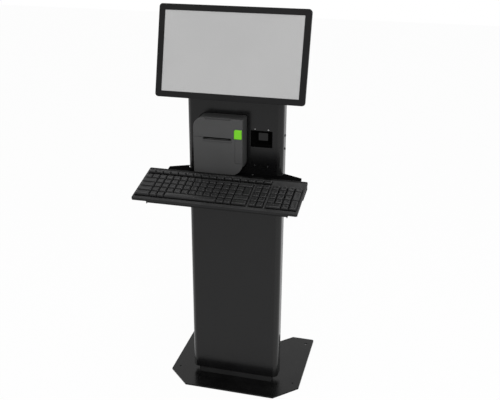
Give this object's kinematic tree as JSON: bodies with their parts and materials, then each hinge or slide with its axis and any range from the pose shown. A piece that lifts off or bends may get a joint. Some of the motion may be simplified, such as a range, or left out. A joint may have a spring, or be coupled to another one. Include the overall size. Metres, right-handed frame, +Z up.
{
  "type": "self-service kiosk",
  "caption": "Free-standing self-service kiosk: tilted display on a slim folded column, receipt printer, window reader, and full-size keyboard on a shelf above a flat floor plate.",
  "frame": {"origin": "centre of the floor plate's underside, on the floor", "axes": "+X to the right of a person facing the front, +Y to the back, +Z up; the display and keyboard face -Y"},
  "size_m": [0.456, 0.5022, 1.178],
  "materials": {
    "column_coat": "fine-textured dark powder coat",
    "base_coat": "textured dark powder coat",
    "shelf_coat": "black powder coat",
    "box_coat": "fine-textured dark powder coat",
    "welded_steel": "painted with the upright",
    "bolt_steel": "zinc plated",
    "black_screws": "black oxide",
    "bright_screws": "nickel plated",
    "pin_steel": "ground",
    "lock_chrome": "polished",
    "lock_brass": "satin",
    "display_plastic": "fine spark-eroded grain",
    "screen_glass": "clear anti-glare glass",
    "picture_panel": "even light grey",
    "circuit_board": "green solder mask",
    "printer_plastic": "fine grain",
    "trim_plastic": "satin",
    "button_green": "satin",
    "latch_plastic": "natural",
    "platen_rubber": "ground rubber",
    "head_metal": "satin",
    "bar_steel": "satin",
    "paper": "smooth white paper",
    "cradle_steel": "zinc plated",
    "reader_plastic": "satin black",
    "reader_glass": "dark clear",
    "keyboard_plastic": "fine grain",
    "key_plastic": "smooth with light wear",
    "guide_plastic": "plain",
    "contact_film": "clear film",
    "pad_rubber": "matte"
  },
  "bodies": {
    "stand": {"upright_channel": "column_coat", "column_cover": "column_coat", "rear_panel": "column_coat", "column_cap": "column_coat", "base_plate": "base_coat", "keyboard_tray": "shelf_coat", "tray_brackets": "shelf_coat", "display_mount": "shelf_coat", "service_box": "box_coat", "foot_plate": "welded_steel", "foot_bolts": "bolt_steel", "panel_screws": "black_screws", "bracket_screws": "black_screws", "vesa_screws": "black_screws", "reader_screws": "bright_screws", "door_hinge_pin": "pin_steel", "display_bezel": "display_plastic", "display_back": "display_plastic", "touch_glass": "screen_glass", "lcd_panel": "picture_panel", "display_board": "circuit_board", "printer_case": "printer_plastic", "printer_trim": "trim_plastic", "print_head": "head_metal", "tear_bar": "bar_steel", "printer_bracket": "cradle_steel", "reader_housing": "reader_plastic", "reader_window": "reader_glass", "keyboard_top": "keyboard_plastic", "keyboard_base": "keyboard_plastic", "key_plate": "guide_plastic", "contact_sheet": "contact_film", "keyboard_pads": "pad_rubber", "cable_grommet": "pad_rubber"},
    "lid": {"printer_lid": "printer_plastic", "lid_hinge_pin": "pin_steel"},
    "platen": {"platen_roller": "platen_rubber"},
    "roll": {"paper_roll": "paper"},
    "button": {"release_button": "button_green"},
    "latch": {"lid_latch": "latch_plastic"},
    "door": {"service_door": "box_coat", "lock_body": "lock_chrome"},
    "cylinder": {"lock_cylinder": "lock_brass"},
    "escape_key_body": {"escape_key": "key_plastic"},
    "function_keys_body": {"function_keys": "key_plastic"},
    "number_keys_body": {"number_keys": "key_plastic"},
    "backspace_key_body": {"backspace_key": "key_plastic"},
    "upper_row_keys_body": {"upper_row_keys": "key_plastic"},
    "enter_key_body": {"enter_key": "key_plastic"},
    "home_row_keys_body": {"home_row_keys": "key_plastic"},
    "lower_row_keys_body": {"lower_row_keys": "key_plastic"},
    "space_bar_body": {"space_bar": "key_plastic"},
    "modifier_keys_body": {"modifier_keys": "key_plastic"},
    "navigation_keys_body": {"navigation_keys": "key_plastic"},
    "numpad_keys_body": {"numpad_keys": "key_plastic"},
    "numpad_zero_key_body": {"numpad_zero_key": "key_plastic"},
    "numpad_plus_key_body": {"numpad_plus_key": "key_plastic"},
    "numpad_enter_key_body": {"numpad_enter_key": "key_plastic"}
  },
  "joints": [
    {"name": "escape_key_press", "type": "slide", "parent": "stand", "child": "escape_key_body", "axis": [0, 0.2113, -0.9774], "range_m": [0, 0.0035], "stiffness_N_per_m": 150, "springref_m": -0.003},
    {"name": "function_keys_press", "type": "slide", "parent": "stand", "child": "function_keys_body", "axis": [0, 0.2113, -0.9774], "range_m": [0, 0.0035], "stiffness_N_per_m": 600, "springref_m": -0.003},
    {"name": "number_keys_press", "type": "slide", "parent": "stand", "child": "number_keys_body", "axis": [0, 0.2113, -0.9774], "range_m": [0, 0.0035], "stiffness_N_per_m": 600, "springref_m": -0.003},
    {"name": "backspace_key_press", "type": "slide", "parent": "stand", "child": "backspace_key_body", "axis": [0, 0.2113, -0.9774], "range_m": [0, 0.0035], "stiffness_N_per_m": 150, "springref_m": -0.003},
    {"name": "upper_row_keys_press", "type": "slide", "parent": "stand", "child": "upper_row_keys_body", "axis": [0, 0.2113, -0.9774], "range_m": [0, 0.0035], "stiffness_N_per_m": 600, "springref_m": -0.003},
    {"name": "enter_key_press", "type": "slide", "parent": "stand", "child": "enter_key_body", "axis": [0, 0.2113, -0.9774], "range_m": [0, 0.0035], "stiffness_N_per_m": 150, "springref_m": -0.003},
    {"name": "home_row_keys_press", "type": "slide", "parent": "stand", "child": "home_row_keys_body", "axis": [0, 0.2113, -0.9774], "range_m": [0, 0.0035], "stiffness_N_per_m": 600, "springref_m": -0.003},
    {"name": "lower_row_keys_press", "type": "slide", "parent": "stand", "child": "lower_row_keys_body", "axis": [0, 0.2113, -0.9774], "range_m": [0, 0.0035], "stiffness_N_per_m": 600, "springref_m": -0.003},
    {"name": "space_bar_press", "type": "slide", "parent": "stand", "child": "space_bar_body", "axis": [0, 0.2113, -0.9774], "range_m": [0, 0.0035], "stiffness_N_per_m": 250, "springref_m": -0.003},
    {"name": "modifier_keys_press", "type": "slide", "parent": "stand", "child": "modifier_keys_body", "axis": [0, 0.2113, -0.9774], "range_m": [0, 0.0035], "stiffness_N_per_m": 600, "springref_m": -0.003},
    {"name": "navigation_keys_press", "type": "slide", "parent": "stand", "child": "navigation_keys_body", "axis": [0, 0.2113, -0.9774], "range_m": [0, 0.0035], "stiffness_N_per_m": 600, "springref_m": -0.003},
    {"name": "numpad_keys_press", "type": "slide", "parent": "stand", "child": "numpad_keys_body", "axis": [0, 0.2113, -0.9774], "range_m": [0, 0.0035], "stiffness_N_per_m": 600, "springref_m": -0.003},
    {"name": "numpad_zero_key_press", "type": "slide", "parent": "stand", "child": "numpad_zero_key_body", "axis": [0, 0.2113, -0.9774], "range_m": [0, 0.0035], "stiffness_N_per_m": 150, "springref_m": -0.003},
    {"name": "numpad_plus_key_press", "type": "slide", "parent": "stand", "child": "numpad_plus_key_body", "axis": [0, 0.2113, -0.9774], "range_m": [0, 0.0035], "stiffness_N_per_m": 150, "springref_m": -0.003},
    {"name": "numpad_enter_key_press", "type": "slide", "parent": "stand", "child": "numpad_enter_key_body", "axis": [0, 0.2113, -0.9774], "range_m": [0, 0.0035], "stiffness_N_per_m": 150, "springref_m": -0.003},
    {"name": "release_button_press", "type": "slide", "parent": "stand", "child": "button", "axis": [0, 1, 0], "range_m": [0, 0.003], "stiffness_N_per_m": 300, "springref_m": -0.003},
    {"name": "latch_turn", "type": "hinge", "parent": "stand", "child": "latch", "pos_m": [0.0128, -0.1347, 0.806], "axis": [-1, 0, 0], "range_deg": [0, 5.3]},
    {"name": "lid_hinge", "type": "hinge", "parent": "stand", "child": "lid", "pos_m": [-0.0228, -0.109, 0.8775], "axis": [-1, 0, 0], "range_deg": [0, 60]},
    {"name": "platen_spin", "type": "hinge", "parent": "lid", "child": "platen", "pos_m": [-0.03815, -0.1395, 0.8312], "axis": [1, 0, 0], "continuous": true},
    {"name": "roll_spin", "type": "hinge", "parent": "stand", "child": "roll", "pos_m": [-0.03765, -0.075, 0.788], "axis": [1, 0, 0], "continuous": true},
    {"name": "door_hinge", "type": "hinge", "parent": "stand", "child": "door", "pos_m": [-0.1164, -0.002, 0.8025], "axis": [0, 0, 1], "range_deg": [0, 110]},
    {"name": "lock_turn", "type": "hinge", "parent": "door", "child": "cylinder", "pos_m": [0.088, -0.0068, 0.8025], "axis": [0, -1, 0], "range_deg": [0, 90]}
  ],
  "couplings": [
    {"joint": "latch_turn", "follows": "release_button_press", "rad_per_m": 30.3}
  ]
}
